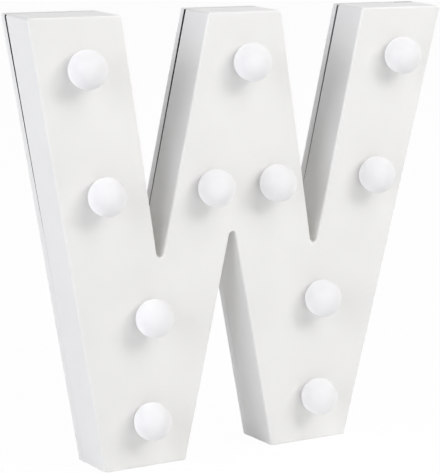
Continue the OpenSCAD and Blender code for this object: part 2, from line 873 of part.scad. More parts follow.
// Twin flex from socket to socket, its two cores one behind the other
module flex_hop(a, b) {
    run = norm(b - a) - 2 * feed_r;
    facing(a, flex_t)
        rotate([0, 0, atan2(b[1] - a[1], b[0] - a[0])])
            for (s = [-1, 1])
                translate([feed_r, 0, s * core_pitch / 2])
                    rotate([0, 90, 0])
                        cylinder(h = run, d = core_d);
}
module led_flex() {
    color("#e4e2dc")
        for (h = hops)
            flex_hop(spots[h[0]], spots[h[1]]);
}

// Slide switch: steel frame staked to the cover, base, three pins, slider and wiper
module switch_frame() {
    color("#c3c6c9")
        difference() {
            union() {
                block(
                    switch_x - frame_l / 2, switch_x + frame_l / 2,
                    switch_z - frame_w / 2, switch_z + frame_w / 2, plate_low_t, panel_t
                );
                block(
                    switch_x - can_l / 2, switch_x + can_l / 2,
                    switch_z - frame_w / 2, switch_z + frame_w / 2, can_low_t, plate_low_t + eps
                );
            }
            block(
                switch_x - can_l / 2 + can_wall, switch_x + can_l / 2 - can_wall,
                switch_z - frame_w / 2 + can_wall, switch_z + frame_w / 2 - can_wall,
                can_low_t - over, plate_low_t
            );
            block(
                off_x - knob_l / 2 - knob_gap, off_x + switch_travel + knob_l / 2 + knob_gap,
                switch_z - knob_w / 2 - knob_gap, switch_z + knob_w / 2 + knob_gap,
                plate_low_t - eps, panel_t + over
            );
            for (s = [-1, 1])
                rod(
                    [switch_x + s * stake_x, switch_z], plate_low_t - over, panel_t + over,
                    stake_d + 2 * stake_gap
                );
        }
}
module switch_base() {
    color("#6b4a2b")
        difference() {
            block(
                switch_x - can_l / 2, switch_x + can_l / 2,
                switch_z - frame_w / 2, switch_z + frame_w / 2, base_low_t, can_low_t
            );
            for (k = [-1 : 1])
                block(
                    switch_x + k * pin_pitch - pin_w / 2 - pin_gap, switch_x + k * pin_pitch + pin_w / 2 + pin_gap,
                    switch_z - pin_t / 2 - pin_gap, switch_z + pin_t / 2 + pin_gap,
                    base_low_t - over, can_low_t + over
                );
        }
}
module switch_terminals() {
    color("#c9a64b")
        for (k = [-1 : 1]) {
            x = switch_x + k * pin_pitch;
            block(x - pin_w / 2, x + pin_w / 2, switch_z - pin_t / 2, switch_z + pin_t / 2,
                base_low_t - pin_l, can_low_t + eps);
            block(x - pin_w, x + pin_w, switch_z - pin_w, switch_z + pin_w,
                can_low_t, can_low_t + pad_h);
        }
}
module switch_slider() {
    color("#202225")
        difference() {
            union() {
                block(
                    off_x - shoe_l / 2, off_x + shoe_l / 2,
                    switch_z - frame_w / 2 + can_wall + knob_gap, switch_z + frame_w / 2 - can_wall - knob_gap,
                    shoe_low_t, shoe_top_t
                );
                block(
                    off_x - knob_l / 2, off_x + knob_l / 2,
                    switch_z - knob_w / 2, switch_z + knob_w / 2,
                    shoe_top_t - eps, body_depth - knob_sink
                );
            }
            for (k = [-1 : 1])
                block(
                    off_x + k * grip_w - grip_d / 2, off_x + k * grip_w + grip_d / 2,
                    switch_z - knob_w, switch_z + knob_w,
                    body_depth - knob_sink - grip_d, body_depth + over
                );
        }
}
wiper_t = 0.3;
wiper_leg = 0.8;
module switch_wiper() {
    low = can_low_t + pad_h + shoe_play;
    color("#c9a64b")
        for (s = [-1, 1]) {
            block(
                off_x - pin_pitch / 2 - wiper_leg, off_x + pin_pitch / 2 + wiper_leg,
                switch_z - pin_w, switch_z + pin_w, shoe_low_t - wiper_t, shoe_low_t
            );
            block(
                off_x + s * pin_pitch / 2 - wiper_leg / 2, off_x + s * pin_pitch / 2 + wiper_leg / 2,
                switch_z - pin_w, switch_z + pin_w, low, shoe_low_t - wiper_t + eps
            );
        }
}

// Hollow frosted globe with a neck that snaps into the face
module bulb(i) {
    color("#f3f2f6")
        facing(spots[i], 0)
            difference() {
                union() {
                    difference() {
                        translate([0, 0, bulb_stand])
                            sphere(d = bulb_d);
                        translate([-bulb_d, -bulb_d, -2 * bulb_d])
                            cube(2 * bulb_d);
                    }
                    translate([0, 0, -neck_l])
                        cylinder(h = neck_l + bulb_wall, d = neck_d);
                    translate([0, 0, -face_t - snap_gap - snap_l])
                        cylinder(h = snap_l, d1 = neck_d - neck_gap, d2 = hole_d + 2 * snap_bite);
                }
                translate([0, 0, bulb_stand])
                    sphere(d = bulb_d - 2 * bulb_wall);
                translate([0, 0, -neck_l - over])
                    cylinder(h = neck_l + over + bulb_stand, d = neck_bore);
            }
}

// Light emitting diode, domed, with its two legs
module led(i) {
    base = plug_l - neck_l;
    color("#e9edf0")
        facing(spots[i], 0) {
            translate([0, 0, base])
                cylinder(h = collar_h, d = led_d + 2 * led_collar);
            translate([0, 0, base + collar_h - eps])
                cylinder(h = led_h - collar_h - lens_d / 2 + eps, d = led_d);
            translate([0, 0, base + led_h - lens_d / 2])
                sphere(d = lens_d);
            for (s = [-1, 1])
                translate([s * leg_pitch / 2, 0, -neck_l - socket_h + socket_floor + leg_gap])
                    cylinder(h = base + neck_l + socket_h - socket_floor, d = leg_d);
        }
}

// Socket that plugs into the neck and carries the diode and the flex
module socket(i) {
    color("#dcdad4")
        facing(spots[i], 0)
            difference() {
                union() {
                    translate([0, 0, -neck_l - eps])
                        cylinder(h = plug_l + eps, d = neck_bore - 2 * plug_gap);
                    translate([0, 0, -neck_l - socket_h])
                        cylinder(h = socket_h, d = neck_d);
                }
                for (s = [-1, 1])
                    translate([s * leg_pitch / 2, 0, -neck_l - socket_h + socket_floor])
                        cylinder(h = socket_h + plug_l, d = leg_d + 2 * leg_gap);
            }
}

front_shell();
back_cover();
cover_screws();
battery_door();
cell_upper();
cell_lower();
contact_positive();
contact_negative();
contact_bridge();
spring_upper();
spring_lower();
lead_positive();
lead_negative();
lead_switched();
led_flex();
switch_frame();
switch_base();
switch_terminals();
switch_slider();
switch_wiper();
for (i = [0 : bulb_count - 1])
    bulb(i);
for (i = [0 : bulb_count - 1])
    led(i);
for (i = [0 : bulb_count - 1])
    socket(i);
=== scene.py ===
# %% [markdown]
# # A light-up letter
# The real object is a capital W moulded in white plastic, as deep as a thumb, with eleven
# frosted globes on its face and a battery bay at the back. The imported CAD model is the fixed
# frame: it gives every place and size, in metres, with the feet on Z = 0 and the globes towards
# -Y. Each cell below adds one finish or one finer piece on top of it.

# %% Frame
import math

import bpy
import numpy as np
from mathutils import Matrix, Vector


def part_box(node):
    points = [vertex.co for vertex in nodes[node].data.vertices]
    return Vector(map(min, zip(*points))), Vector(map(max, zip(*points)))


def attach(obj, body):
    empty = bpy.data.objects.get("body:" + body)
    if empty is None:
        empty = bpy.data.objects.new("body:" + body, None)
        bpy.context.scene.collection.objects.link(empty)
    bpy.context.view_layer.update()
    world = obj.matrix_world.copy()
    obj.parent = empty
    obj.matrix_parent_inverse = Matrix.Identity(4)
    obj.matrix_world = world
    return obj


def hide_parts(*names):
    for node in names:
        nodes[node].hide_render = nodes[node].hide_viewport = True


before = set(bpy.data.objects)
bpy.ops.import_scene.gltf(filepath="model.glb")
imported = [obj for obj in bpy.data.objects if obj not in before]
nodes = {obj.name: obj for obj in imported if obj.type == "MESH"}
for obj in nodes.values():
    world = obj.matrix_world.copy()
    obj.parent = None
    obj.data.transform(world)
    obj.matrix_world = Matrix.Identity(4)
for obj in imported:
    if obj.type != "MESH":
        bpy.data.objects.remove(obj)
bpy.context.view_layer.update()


# %% [markdown]
# ## The viewpoint
# The photograph looks at the letter from its left and from a little above, with a long lens and a
# slight roll. A camera could be aimed with a Track To constraint, but the roll would then need an
# extra turn. Writing its three axes as the columns of a matrix sets place, aim and roll at once.

# %% Camera
IMAGE_W, IMAGE_H = 440, 473
SENSOR = 36.0
FOCAL_PIXELS = 2264.6
CLIP_NEAR, CLIP_FAR = 0.05, 40.0
TURN, RISE, ROLL = np.radians([-35.28, 11.27, 2.20])
AIM = np.array([-0.01056, -0.00398, 0.11083])
DISTANCE = 1.1006


def camera_axes(turn, rise, roll):
    """Right, up and back of a camera that stands at an angle round Z, above the floor, and rolls."""
    back = np.array([math.sin(turn) * math.cos(rise), -math.cos(turn) * math.cos(rise), math.sin(rise)])
    level = np.array([math.cos(turn), math.sin(turn), 0.0])
    upright = np.cross(back, level)
    right = math.cos(roll) * level + math.sin(roll) * upright
    up = math.cos(roll) * upright - math.sin(roll) * level
    return right, up, back


def set_up(name, data, axes, place):
    """A camera or lamp whose matrix has its right, up and back axes and its place as columns."""
    matrix = np.eye(4)
    matrix[:3] = np.column_stack([*axes, place])
    thing = bpy.data.objects.new(name, data)
    thing.matrix_world = matrix.T.tolist()
    bpy.context.scene.collection.objects.link(thing)
    return thing


def viewpoint():
    """A camera at the aim plus its back axis times the distance."""
    axes = camera_axes(TURN, RISE, ROLL)
    lens = bpy.data.cameras.new("viewpoint")
    lens.sensor_width = SENSOR
    lens.lens = FOCAL_PIXELS / max(IMAGE_W, IMAGE_H) * SENSOR
    lens.clip_start, lens.clip_end = CLIP_NEAR, CLIP_FAR
    return set_up("viewpoint", lens, axes, AIM + axes[2] * DISTANCE)


camera = viewpoint()
bpy.context.scene.camera = camera
print("lens:", round(camera.data.lens, 1), "mm, stands at", [round(v, 3) for v in camera.location])

# %% [markdown]
# ## From a grid of points to a mesh
# Lathe-turned and drawn-out pieces are all grids: one parameter runs along a profile or path, the
# other round it. Blender's Spin and Screw tools could make them, but a numpy grid is exact, fast
# and shows its formula. One helper joins neighbours into quads, closes the poles, turns the faces
# outwards by the sign of the enclosed volume, and keeps the sharp creases.

# %% Grid to mesh
# The bend from which an edge stays sharp, and the distance in metres within which points are one.
CREASE = math.radians(38.0)
SAME_PLACE = 1e-7


def joined_quads(rows, cols):
    """Corner numbers of the quads between neighbouring rows, closed round the columns."""
    here = np.arange(rows * cols).reshape(rows, cols)
    there = np.roll(here, -1, axis=1)
    return np.stack([here[:-1], there[:-1], there[1:], here[1:]], axis=-1).reshape(-1, 4)


def closed_poles(points, quads):
    """Merges points that share a place: the points, the quads, which are whole, which lose one side
    and so become triangles, and the corners of those triangles."""
    keys = np.round(points / SAME_PLACE).astype(np.int64)
    first, number = np.unique(keys, axis=0, return_index=True, return_inverse=True)[1:]
    quads = number.reshape(-1)[quads]
    same = quads == np.roll(quads, -1, axis=1)
    whole = ~same.any(axis=1)
    once = same.sum(axis=1) == 1
    order = (np.argmax(same[once], axis=1)[:, None] + np.array([1, 2, 3])) % 4
    corners = np.take_along_axis(quads[once], order, axis=1)
    return points[first], quads, whole, once, corners


def outward(points, quads):
    """True if the quads enclose a positive volume, a sixth of the sum of their corner products."""
    a, b, c, d = (points[quads[:, k]] for k in range(4))
    return np.einsum("ij,ij->", a, np.cross(b, c) + np.cross(c, d)) > 0


def grid_piece(name, grid, finishes, row_finish=None):
    """One object from a (rows, columns, 3) grid that is closed round its columns and at its ends."""
    rows, cols = grid.shape[:2]
    finish = np.zeros(rows - 1, int) if row_finish is None else np.asarray(row_finish)
    finish = np.repeat(finish, cols)
    centre = grid.reshape(-1, 3).mean(axis=0)
    points, quads, whole, once, corners = closed_poles(grid.reshape(-1, 3), joined_quads(rows, cols))
    quads, finish = quads[whole], np.concatenate([finish[whole], finish[once]])
    if not outward(points - centre, quads):
        quads, corners = quads[:, ::-1], corners[:, ::-1]
    mesh = bpy.data.meshes.new(name)
    mesh.from_pydata(points.tolist(), [], quads.tolist() + corners.tolist())
    for material in finishes:
        mesh.materials.append(material)
    mesh.polygons.foreach_set("material_index", finish.astype(np.int32))
    mesh.shade_smooth()
    mesh.set_sharp_from_angle(angle=CREASE)
    mesh.update()
    piece = bpy.data.objects.new(name, mesh)
    bpy.context.scene.collection.objects.link(piece)
    return piece


print("quads of a 3 x 8 grid:", len(joined_quads(3, 8)))

# %% Turned and drawn-out grids
def turned(profile, centre, axis, side, around):
    """A profile of (radius, height) pairs turned about an axis: each point is
    centre + height * axis + radius * (cos(angle) * side + sin(angle) * other)."""
    axis, side = np.asarray(axis, float), np.asarray(side, float)
    other = np.cross(axis, side)
    angle = np.linspace(0.0, 2.0 * np.pi, around, endpoint=False)
    ring = np.cos(angle)[:, None] * side + np.sin(angle)[:, None] * other
    radius, height = np.asarray(profile, float).T
    return np.asarray(centre) + height[:, None, None] * axis + radius[:, None, None] * ring


def drawn_out(path, outline, lean):
    """An outline of (across, over) pairs carried along a path and closed at both ends: across is
    square to the path and to lean, and over is square to the path and to across."""
    along = np.gradient(path, axis=0)
    along /= np.linalg.norm(along, axis=1, keepdims=True)
    across = np.cross(along, lean)
    across /= np.linalg.norm(across, axis=1, keepdims=True)
    over = np.cross(across, along)
    body = path[:, None] + outline[:, :1] * across[:, None] + outline[:, 1:] * over[:, None]
    first = np.broadcast_to(path[0], (1,) + body.shape[1:])
    last = np.broadcast_to(path[-1], (1,) + body.shape[1:])
    return np.concatenate([first, body, last])


def arc(centre, radius, start, end, count):
    """Points of a circle from one angle to another, in degrees, as (across, up) pairs."""
    angle = np.radians(np.linspace(start, end, count))
    return np.column_stack([centre[0] + radius * np.cos(angle), centre[1] + radius * np.sin(angle)])


print("points of a quarter circle:", arc((0.0, 0.0), 1.0, 0.0, 90.0, 3).round(2).tolist())

# %% [markdown]
# ## Finishes
# A finish is a small node tree: noise on Object coordinates gives cloudy colour, patchy gloss and
# the fine grain of the mould. Image textures would need files and UV maps, while noise in metres
# has the same scale on every piece. What is the same all over sits on the shader's own sockets.

# %% Node helpers
NOISE_LOW, NOISE_HIGH = 0.3, 0.7


def start_finish(name, preview, metallic=0.0, specular=0.5):
    """An empty finish: its shader, and the Object coordinates that every pattern reads."""
    material = bpy.data.materials.new(name)
    material.use_nodes = True
    material.diffuse_color = (*preview, 1.0)
    tree = material.node_tree
    shader = tree.nodes["Principled BSDF"]
    shader.inputs["Metallic"].default_value = metallic
    shader.inputs["Specular IOR Level"].default_value = specular
    place = tree.nodes.new("ShaderNodeTexCoord").outputs["Object"]
    return material, tree, shader, place


def feed(tree, value, socket):
    """Links a node's output to a socket, or sets a number, or a colour with full alpha, on it."""
    if isinstance(value, bpy.types.NodeSocket):
        tree.links.new(value, socket)
    elif isinstance(value, tuple):
        socket.default_value = (*value, 1.0)
    else:
        socket.default_value = value


def mixed(tree, share, first, second, blend="MIX"):
    """first * (1 - share) + second * share, or another blend of the two colours by the share."""
    mix = tree.nodes.new("ShaderNodeMix")
    mix.data_type = "RGBA"
    mix.blend_type = blend
    feed(tree, share, mix.inputs["Factor"])
    feed(tree, first, mix.inputs["A"])
    feed(tree, second, mix.inputs["B"])
    return mix.outputs["Result"]


def cloud(tree, place, scale, detail=3.0, roughness=0.5):
    """Noise with features of about one over scale, in metres."""
    noise = tree.nodes.new("ShaderNodeTexNoise")
    noise.inputs["Scale"].default_value = scale
    noise.inputs["Detail"].default_value = detail
    noise.inputs["Roughness"].default_value = roughness
    tree.links.new(place, noise.inputs["Vector"])
    return noise.outputs["Fac"]


def spread(tree, value, low, high, start=NOISE_LOW, end=NOISE_HIGH):
    """Maps a value's stretch from start to end, by default the middle of a noise, to low and high."""
    ramp = tree.nodes.new("ShaderNodeMapRange")
    ramp.inputs["From Min"].default_value = start
    ramp.inputs["From Max"].default_value = end
    ramp.inputs["To Min"].default_value = low
    ramp.inputs["To Max"].default_value = high
    tree.links.new(value, ramp.inputs["Value"])
    return ramp.outputs["Result"]


print("noise is spread from", NOISE_LOW, "to", NOISE_HIGH)

# %% Colour, gloss and grain
def coloured(tree, shader, noise, dark, light):
    """Base colour from dark to light, by a noise."""
    colour = mixed(tree, spread(tree, noise, 0.0, 1.0), dark, light)
    tree.links.new(colour, shader.inputs["Base Color"])


def glossed(tree, shader, noise, gloss):
    """Roughness from one end of gloss to the other, by a noise."""
    tree.links.new(spread(tree, noise, *gloss), shader.inputs["Roughness"])


def grained(tree, shader, height, depth):
    """Relief of the given depth in metres, as a bump on the shader's normal."""
    bump = tree.nodes.new("ShaderNodeBump")
    bump.inputs["Distance"].default_value = depth
    tree.links.new(height, bump.inputs["Height"])
    tree.links.new(bump.outputs["Normal"], shader.inputs["Normal"])


def dress(material, *names):
    """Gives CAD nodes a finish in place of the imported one."""
    for name in names:
        nodes[name].data.materials.clear()
        nodes[name].data.materials.append(material)
    print(material.name, "on", len(names), "nodes")


print("parts of a finish:", [part.__name__ for part in (coloured, glossed, grained)])

# %% Plastic and metal
GRAIN_DETAIL, GLOSS_FINER = 2.0, 3.0
SCRATCH_DETAIL, SCRATCH_ROUGHNESS, METAL_GLOSS_SCALE = 4.0, 0.6, 400.0


def moulded(name, dark, light, gloss, patch, grain_scale, grain_depth):
    """Moulded plastic: a cloudy colour, finer patches of gloss and the grain that the mould leaves."""
    material, tree, shader, place = start_finish(name, light)
    coloured(tree, shader, cloud(tree, place, patch), dark, light)
    glossed(tree, shader, cloud(tree, place, GLOSS_FINER * patch), gloss)
    grained(tree, shader, cloud(tree, place, grain_scale, GRAIN_DETAIL), grain_depth)
    return material


def plated(name, dark, light, gloss, stretch, scratch_scale, scratch_depth):
    """Metal with fine scratches: a stretch under 1 on an axis draws their noise out along it."""
    material, tree, shader, place = start_finish(name, light, metallic=1.0)
    squeeze = tree.nodes.new("ShaderNodeMapping")
    squeeze.inputs["Scale"].default_value = stretch
    tree.links.new(place, squeeze.inputs["Vector"])
    scratch = cloud(tree, squeeze.outputs["Vector"], scratch_scale, SCRATCH_DETAIL, SCRATCH_ROUGHNESS)
    coloured(tree, shader, scratch, dark, light)
    glossed(tree, shader, cloud(tree, place, METAL_GLOSS_SCALE), gloss)
    grained(tree, shader, scratch, scratch_depth)
    return material


print("patches of gloss are", GLOSS_FINER, "times finer than those of colour")

# %% [markdown]
# ## The casing
# Tray, cover and door are one white plastic, slightly warm, with the fine even grain of an etched
# mould and a satin gloss. The CAD solids already have the rounded edges and the seam, so they stay,
# and only the finish is new. The seam reads as a dark line because the narrow joint between tray
# and cover lies in shade, and that shade is painted into the finish as a near-black colour.
# Painting a line on the walls would be easier, but it would not follow the opening of the seam, so
# the finish darkens just the faces inside the joint: those that look to the front or the back
# between two depths. The painted shade is thickest on the middle peak, where it also covers the
# edge of the cover, and thinner on the right arm. It thins out where the seam closes towards the
# feet. It stays off the topmost edges, where light reaches into the seam, except at one corner of
# the right arm.

# %% Joint of tray and cover
tray_low, tray_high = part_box("front_shell")
face_y, tray_edge, letter_top = tray_low.y, tray_high.y, tray_high.z
# The joint's middle behind the face, half its depth, and the band at the very top without painted shade.
JOINT_DEPTH, JOINT_REACH, UNSHADED_TOP = 0.0202, 0.0009, 0.0005
# The wedge of the seam: the height where it starts, and its width there and at the top.
WEDGE_START, WEDGE_LOW, WEDGE_TOP = 0.11, 0.0001, 0.0014
# The heights between which the painted shade grows from none to all.
SEAM_CLOSED, SEAM_OPEN = 0.07, 0.13
# The middle peak: the middle and half width of its wall, and the painted shade past the cover's edge.
PEAK_X, PEAK_REACH, PEAK_SHADE_LOW, PEAK_SHADE_TOP = -0.033, 0.016, 0.0004, 0.0001
# The right arm: the middle and half width of its wall, and the share of painted shade there.
ARM_X, ARM_REACH, ARM_SHARE = 0.06, 0.03, 0.7
# The corner that has painted shade up to the top, and the part of a normal from which a face looks back.
CORNER_X, CORNER_REACH = 0.1137, 0.0057
FACES_BACK = 0.5

# %% Painted shade in the joint
def node_math(tree, operation, *values):
    """A Math node's operation on its values, each a number or another node's output."""
    node = tree.nodes.new("ShaderNodeMath")
    node.operation = operation
    for value, socket in zip(values, node.inputs):
        feed(tree, value, socket)
    return node.outputs["Value"]


def product(tree, first, *others):
    """Several node values multiplied, one after the other."""
    for other in others:
        first = node_math(tree, "MULTIPLY", first, other)
    return first


def peak_band(tree, x, y, z):
    """1 from the tray's edge to a little past the cover's edge, a line in z, along the middle peak."""
    low = tray_edge + WEDGE_LOW + PEAK_SHADE_LOW
    top = tray_edge + WEDGE_TOP + PEAK_SHADE_TOP
    edge = spread(tree, z, low, top, WEDGE_START, letter_top)
    return product(
        tree,
        node_math(tree, "COMPARE", x, PEAK_X, PEAK_REACH),
        node_math(tree, "GREATER_THAN", y, tray_edge),
        node_math(tree, "LESS_THAN", y, edge),
    )


# The share of near-black colour painted in the joint, standing in for the shade inside the seam.
def joint_shade_share(tree):
    """Painted shade of the joint from 0 to 1: where |normal y| > 1/2 or on the peak's band, times its
    limits in x, y and z.
    """
    place = tree.nodes.new("ShaderNodeTexCoord")
    point, normal = (tree.nodes.new("ShaderNodeSeparateXYZ") for _ in range(2))
    tree.links.new(place.outputs["Object"], point.inputs["Vector"])
    tree.links.new(place.outputs["Normal"], normal.inputs["Vector"])
    x, y, z = (point.outputs[axis] for axis in "XYZ")
    facing = node_math(tree, "ABSOLUTE", normal.outputs["Y"])
    facing = node_math(tree, "GREATER_THAN", facing, FACES_BACK)
    corner = node_math(tree, "COMPARE", x, CORNER_X, CORNER_REACH)
    arm = node_math(tree, "COMPARE", x, ARM_X, ARM_REACH)
    return product(
        tree,
        node_math(tree, "MAXIMUM", facing, peak_band(tree, x, y, z)),
        node_math(tree, "COMPARE", y, face_y + JOINT_DEPTH, JOINT_REACH),
        node_math(tree, "MAXIMUM", corner, node_math(tree, "LESS_THAN", z, letter_top - UNSHADED_TOP)),
        node_math(tree, "MULTIPLY_ADD", arm, ARM_SHARE - 1.0, 1.0),
        spread(tree, z, 0.0, 1.0, SEAM_CLOSED, SEAM_OPEN),
    )


# %% Casing
# Near-black colour painted inside the joint as the shade of the seam.
PAINTED_JOINT_SHADE = (0.020, 0.019, 0.018)


def paint_joint_shade(material):
    """Mixes the painted shade's near-black colour into the plastic's by its share at each point."""
    tree = material.node_tree
    base = tree.nodes["Principled BSDF"].inputs["Base Color"]
    plastic = base.links[0].from_socket
    tree.links.new(mixed(tree, joint_shade_share(tree), plastic, PAINTED_JOINT_SHADE), base)


casing = moulded(
    "casing_plastic", dark=(0.838, 0.832, 0.816), light=(0.868, 0.862, 0.848), gloss=(0.32, 0.42),
    patch=22.0, grain_scale=1500.0, grain_depth=0.000012,
)
# Paints the shade of the joint into the casing's colour.
paint_joint_shade(casing)
dress(casing, "front_shell", "back_cover", "battery_door")

# %% [markdown]
# ## The globes
# Each bulb is a hollow blow-moulded globe, frosted, with a neck that snaps into a hole of the face.
# A UV sphere would do from the front, but the real one is a thin shell, so its whole section is
# turned about the axis: down the inside from the pole, round the end of the neck, over the snap
# ring and back up the outside. The light that enters the frosted wall spreads, which is what the
# subsurface part of the shader is for. Blasting leaves the surface so rough that its shade is
# nearly flat from the middle to the edge, and the shader's diffuse roughness gives that.

# %% Globe section
FORWARD, SIDEWAYS, UPWARD = (0.0, -1.0, 0.0), (1.0, 0.0, 0.0), (0.0, 0.0, 1.0)
GLOBE_AROUND, INSIDE_STEPS, OUTSIDE_STEPS, ROUND_STEPS = 72, 40, 56, 4
GLOBE_WALL, NECK_R, NECK_BORE_R = 0.0012, 0.0048, 0.0038
SNAP_R, SNAP_TOP, SNAP_LOW = 0.00535, -0.0021, -0.0035
NECK_ROUND = 0.0003


def globe_section(radius, stand, neck_end):
    """(radius, height above the face) from the inner pole round the neck's end to the outer pole."""
    inner = radius - GLOBE_WALL
    mouth = math.degrees(math.asin(NECK_BORE_R / inner))
    foot = math.degrees(math.acos(-stand / radius))
    inside = arc((0.0, stand), inner, 90.0, -90.0 + mouth, INSIDE_STEPS)
    inside[0, 0] = 0.0
    end = neck_end + NECK_ROUND
    tip = arc((NECK_BORE_R + NECK_ROUND, end), NECK_ROUND, 180.0, 270.0, ROUND_STEPS)
    rim = arc((NECK_R - NECK_ROUND, end), NECK_ROUND, 270.0, 360.0, ROUND_STEPS)
    snap = np.array([
        [NECK_R - NECK_ROUND / 3, SNAP_LOW], [SNAP_R, SNAP_TOP - NECK_ROUND], [SNAP_R, SNAP_TOP],
        [NECK_R, SNAP_TOP], [NECK_R, 0.0],
    ])
    outside = arc((0.0, stand), radius, 90.0 - foot, 90.0, OUTSIDE_STEPS)
    outside[-1, 0] = 0.0
    return np.concatenate([inside, tip, rim, snap, outside])


# %% Frosted finish
FROST_DARK, FROST_LIGHT, FROST_PREVIEW = (0.909, 0.900, 0.906), (0.928, 0.919, 0.925), (0.9, 0.9, 0.92)
FROST_PATCH, FROST_GLOSS_SCALE, FROST_GLOSS, FROST_SPECULAR = 90.0, 160.0, (0.42, 0.55), 0.4
BLAST_SCALE, BLAST_DEPTH, BLAST_FLATNESS = 2600.0, 0.000006, 1.0
INNER_SHARE, INNER_BY_COLOUR, INNER_REACH = 0.15, (1.0, 0.95, 0.9), 0.004


def frosted(name):
    """Frosted plastic: cool white, light that spreads in the wall, and a fine blasted grain."""
    material, tree, shader, place = start_finish(name, FROST_PREVIEW, specular=FROST_SPECULAR)
    shader.inputs["Diffuse Roughness"].default_value = BLAST_FLATNESS
    shader.inputs["Subsurface Weight"].default_value = INNER_SHARE
    shader.inputs["Subsurface Radius"].default_value = INNER_BY_COLOUR
    shader.inputs["Subsurface Scale"].default_value = INNER_REACH
    coloured(tree, shader, cloud(tree, place, FROST_PATCH), FROST_DARK, FROST_LIGHT)
    glossed(tree, shader, cloud(tree, place, FROST_GLOSS_SCALE), FROST_GLOSS)
    grained(tree, shader, cloud(tree, place, BLAST_SCALE, GRAIN_DETAIL), BLAST_DEPTH)
    return material


globe_finish = frosted("globe_frosted")
print(globe_finish.name, "has", len(globe_finish.node_tree.nodes), "nodes in its tree")

# %% Globes
BULB_NUMBERS = range(1, 12)

for number in BULB_NUMBERS:
    low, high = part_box(f"bulb_{number:02d}")
    middle = (low + high) / 2
    radius = (high.x - low.x) / 2
    section = globe_section(radius, face_y - low.y - radius, face_y - high.y)
    shape = turned(section, (middle.x, face_y, middle.z), FORWARD, SIDEWAYS, GLOBE_AROUND)
    globe = grid_piece(f"globe_{number:02d}", shape, [globe_finish])
    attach(globe, "letter")
    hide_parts(f"bulb_{number:02d}")
print("globes:", len(BULB_NUMBERS), "of", len(globe.data.polygons), "faces")

# %% [markdown]
# ## Diodes and sockets
# Behind each globe sits a clear diode in a pale plastic plug. They hardly show, so the CAD solids
# stay and get the clear epoxy and the unpainted plastic of such lamps.

# %% Diodes and sockets
epoxy = moulded(
    "diode_epoxy", dark=(0.80, 0.82, 0.83), light=(0.88, 0.90, 0.91), gloss=(0.10, 0.18),
    patch=120.0, grain_scale=900.0, grain_depth=0.000003,
)
plug = moulded(
    "socket_nylon", dark=(0.66, 0.65, 0.61), light=(0.73, 0.72, 0.68), gloss=(0.45, 0.6),
    patch=60.0, grain_scale=1200.0, grain_depth=0.000015,
)
dress(epoxy, *[f"led_{number:02d}" for number in BULB_NUMBERS])
dress(plug, *[f"socket_{number:02d}" for number in BULB_NUMBERS])

# %% [markdown]
# ## Metal parts and the switch
# Screws, contact plates and the switch are bright metal. The stamped ones have scratches that run
# one way, and those of the screws run every way. The knob is black plastic, and the switch's base
# is brown laminate.

# %% Metal parts
EVERY_WAY, ALONG_X, ALONG_Y = (1.0, 1.0, 1.0), (0.1, 1.0, 1.0), (1.0, 0.1, 1.0)

screw_finish = plated(
    "screw_zinc", dark=(0.50, 0.51, 0.52), light=(0.66, 0.67, 0.68), gloss=(0.25, 0.42),
    stretch=EVERY_WAY, scratch_scale=900.0, scratch_depth=0.00001,
)
nickel = plated(
    "contact_nickel", dark=(0.58, 0.56, 0.51), light=(0.72, 0.70, 0.65), gloss=(0.20, 0.36),
    stretch=ALONG_Y, scratch_scale=1600.0, scratch_depth=0.000006,
)
can_steel = plated(
    "switch_steel", dark=(0.52, 0.53, 0.54), light=(0.68, 0.69, 0.70), gloss=(0.26, 0.4),
    stretch=ALONG_X, scratch_scale=1600.0, scratch_depth=0.000006,
)
brass = plated(
    "switch_brass", dark=(0.62, 0.46, 0.20), light=(0.78, 0.60, 0.30), gloss=(0.22, 0.36),
    stretch=ALONG_Y, scratch_scale=1600.0, scratch_depth=0.000005,
)
dress(screw_finish, "cover_screws")
dress(nickel, "contact_positive", "contact_negative", "contact_bridge")
dress(can_steel, "switch_frame")
dress(brass, "switch_terminals", "switch_wiper")

# %% Knob and base of the switch
laminate = moulded(
    "switch_laminate", dark=(0.10, 0.055, 0.028), light=(0.16, 0.09, 0.045), gloss=(0.45, 0.6),
    patch=300.0, grain_scale=1200.0, grain_depth=0.00002,
)
knob = moulded(
    "knob_black", dark=(0.012, 0.0125, 0.014), light=(0.022, 0.023, 0.025), gloss=(0.38, 0.52),
    patch=200.0, grain_scale=1500.0, grain_depth=0.00002,
)
dress(laminate, "switch_base")
dress(knob, "switch_slider")

# %% [markdown]
# ## The cells
# Two dry cells lie in the bay. A cell is a steel can with a printed wrap that is shrunk over its
# shoulders, and a button at one end. Its section is turned about its own axis, and the rows of the
# grid say which part is wrap and which is bare steel. The wrap is plain, with a pale band at the
# button's end and a narrow grey one at the foot, and the colour follows the length through a
# Mapping node.

# %% Cell section
CELL_AROUND, BUTTON_STEPS, SHOULDER_STEPS, WRAP_STEPS = 64, 5, 4, 6
WRAP, STEEL = 0, 1
WRAP_T, WRAP_LIP, WRAP_ROUND = 0.00012, 0.0011, 0.0006
BUTTON_R, BUTTON_ROUND = 0.0019, 0.0003
SHOULDER, SHOULDER_ROUND = 0.0009, 0.0002
DISH_R, DISH_FLOOR_R, DISH_DEPTH = 0.0016, 0.0012, 0.0003


